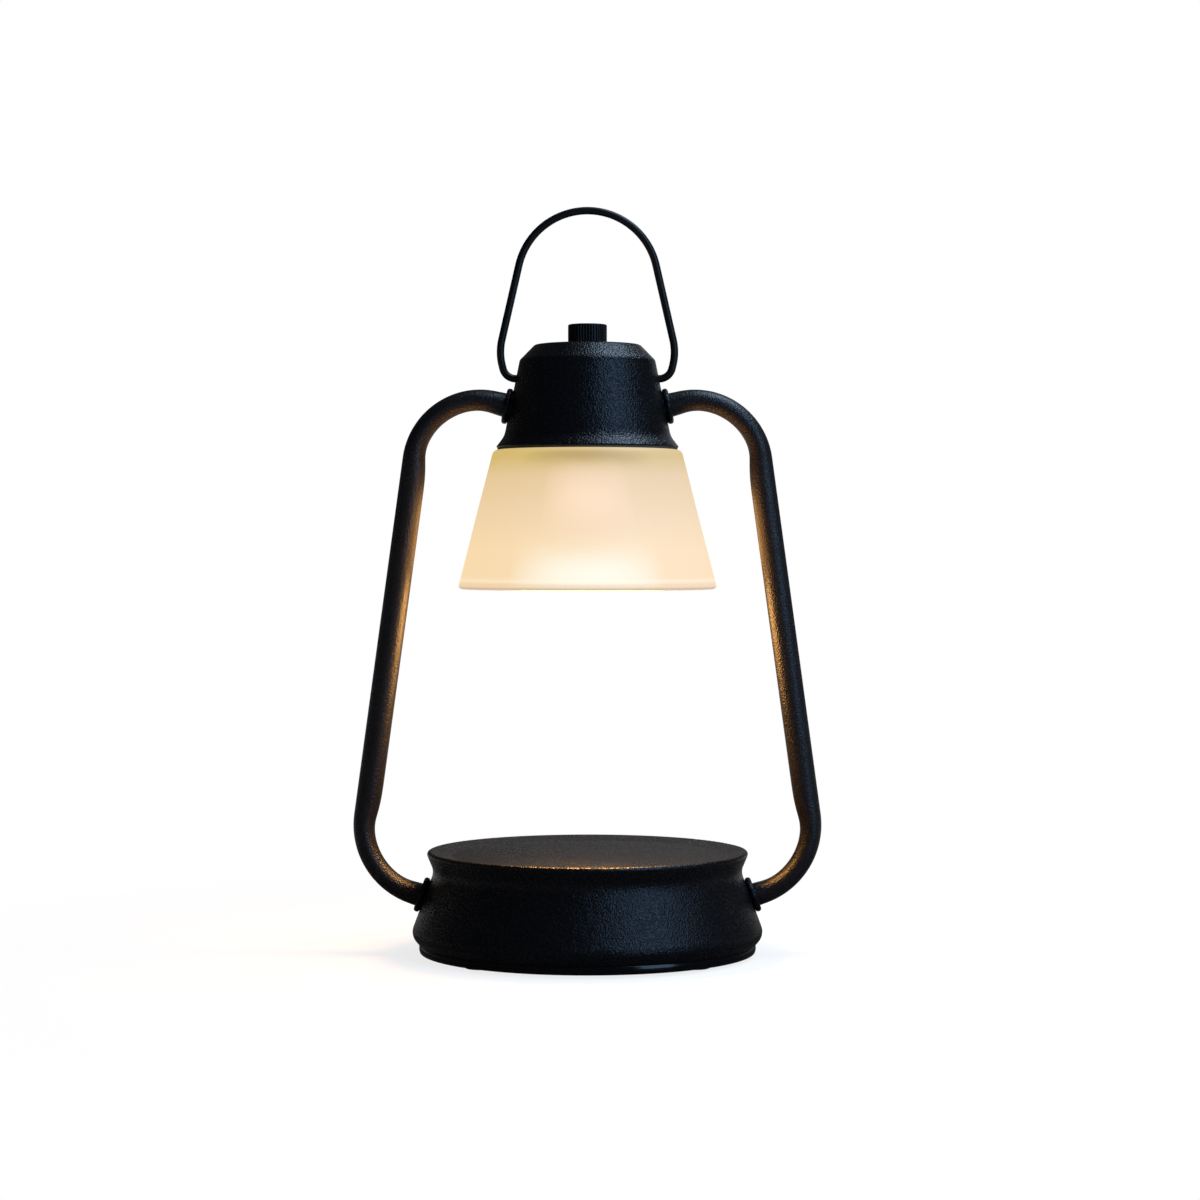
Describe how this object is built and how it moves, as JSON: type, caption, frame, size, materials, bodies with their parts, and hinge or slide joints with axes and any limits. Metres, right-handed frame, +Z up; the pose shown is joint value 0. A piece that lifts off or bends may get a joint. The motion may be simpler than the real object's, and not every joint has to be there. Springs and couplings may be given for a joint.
{
  "type": "lantern candle warmer",
  "caption": "Electric candle warmer shaped like a lantern: a dimmed bulb in a frosted glass shade held by bent arms over a round weighted base with a tray, with a wire handle.",
  "frame": {"origin": "centre of the base, on the surface that it stands on", "axes": "+Z up, +X along the arms towards the right arm, the front faces -Y and the cord gland is at +Y"},
  "size_m": [0.1856, 0.1386, 0.2953],
  "materials": {
    "black_coat": "fine-textured matte powder coat",
    "black_wire": "satin black paint",
    "gloss_black": "glossy",
    "knob_black": "satin, fluted",
    "black_rubber": "matte",
    "silicone": "smoke grey, matte",
    "iron": "as cast",
    "steel": "plain zinc plated",
    "frosted_glass": "frosted inside",
    "ring_metal": "satin",
    "white_ceramic": "unglazed",
    "brass": "plain",
    "reflector_mirror": "bright coated glass",
    "lens_glass": "clear",
    "capsule_glass": "clear",
    "white_plastic": "moulded",
    "brown_board": "laminate",
    "component_body": "moulded",
    "live_insulation": "silicone sleeve",
    "neutral_insulation": "silicone sleeve"
  },
  "bodies": {
    "lantern": {"base_shell": "black_coat", "right_arm": "black_coat", "left_arm": "black_coat", "upper_collars": "black_coat", "lower_collars": "black_coat", "top_housing": "black_coat", "bottom_cover": "gloss_black", "foot_pads": "black_rubber", "cord_gland": "black_rubber", "shade_gasket": "silicone", "ballast": "iron", "cover_screws": "steel", "terminal_screws": "steel", "arm_washers": "steel", "arm_bolts": "steel", "holder_strap": "steel", "holder_screws": "steel", "strap_screws": "steel", "dimmer_can": "steel", "dimmer_nut": "steel", "dimmer_washer": "steel", "glass_shade": "frosted_glass", "shade_ring": "ring_metal", "lamp_holder": "white_ceramic", "holder_contacts": "brass", "terminal_block": "white_plastic", "dimmer_track": "brown_board", "dimmer_board": "brown_board", "dimmer_parts": "component_body", "live_wire": "live_insulation", "lamp_wire": "live_insulation", "neutral_wire": "neutral_insulation"},
    "handle": {"handle": "black_wire"},
    "knob": {"knob": "knob_black", "dimmer_shaft": "steel"},
    "bulb": {"bulb_base": "white_ceramic", "bulb_pins": "brass", "bulb_reflector": "reflector_mirror", "bulb_lens": "lens_glass", "bulb_capsule": "capsule_glass"}
  },
  "joints": [
    {"name": "handle_swing", "type": "hinge", "parent": "lantern", "child": "handle", "pos_m": [0, 0, 0.2275], "axis": [1, 0, 0], "range_deg": [-130, 130]},
    {"name": "knob_turn", "type": "hinge", "parent": "lantern", "child": "knob", "pos_m": [0, 0, 0.2409], "axis": [0, 0, 1], "range_deg": [0, 300]},
    {"name": "bulb_twist", "type": "hinge", "parent": "lantern", "child": "bulb", "pos_m": [0, 0, 0.2067], "axis": [0, 0, 1], "range_deg": [-25, 0]}
  ]
}
